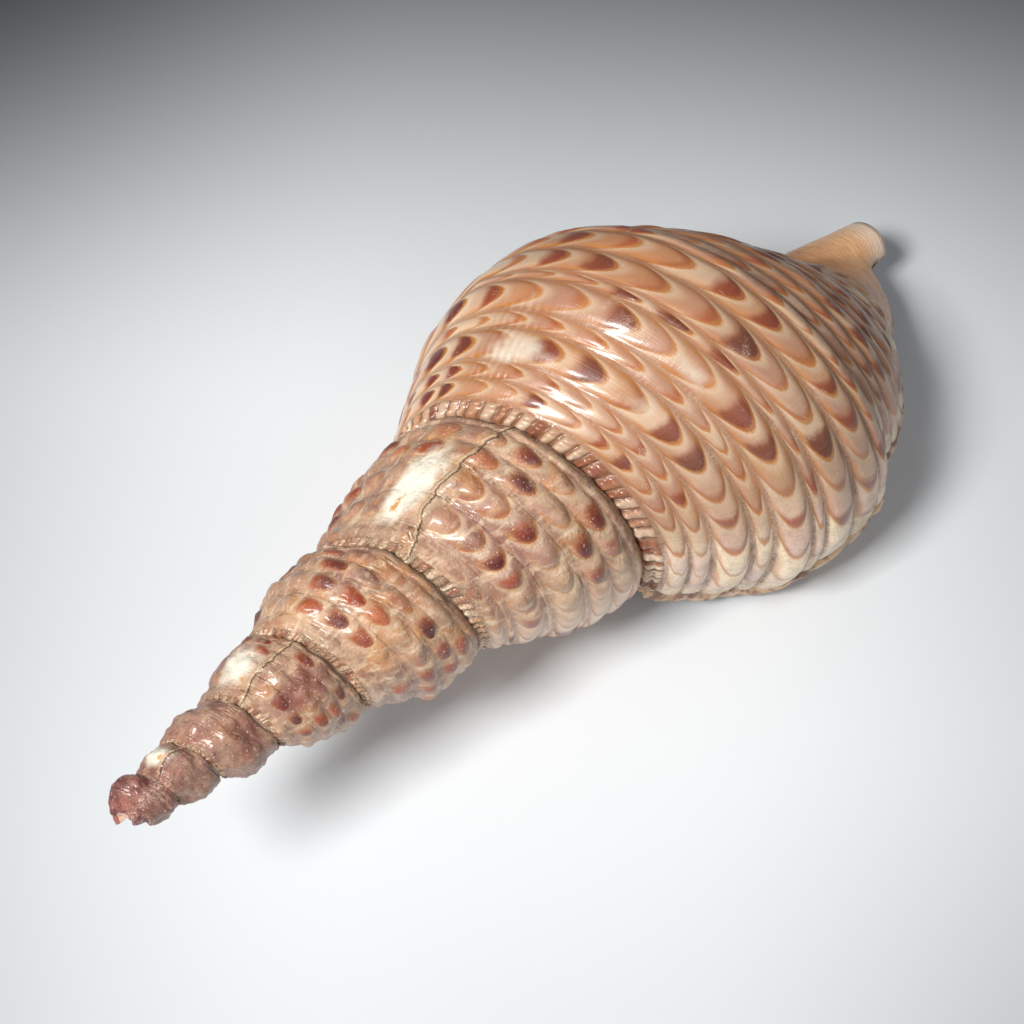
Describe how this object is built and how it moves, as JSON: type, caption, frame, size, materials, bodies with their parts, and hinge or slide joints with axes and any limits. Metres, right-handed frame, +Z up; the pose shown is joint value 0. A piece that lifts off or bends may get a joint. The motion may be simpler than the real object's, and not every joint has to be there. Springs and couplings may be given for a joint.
{
  "type": "triton's trumpet shell",
  "caption": "Large pointed sea shell with swelling whorls, spiral cords, beaded sutures and a wide open mouth, lying mouth down.",
  "frame": {"origin": "middle of the part's outline seen from above, on the surface it lies on", "axes": "+Z up; the canal end points along +X, the spire along -X and rising, the outer lip is on the -Y side"},
  "size_m": [0.3658, 0.1522, 0.1232],
  "materials": {
    "shell": "gloss"
  },
  "bodies": {
    "root": {"shell": "shell"}
  },
  "joints": []
}
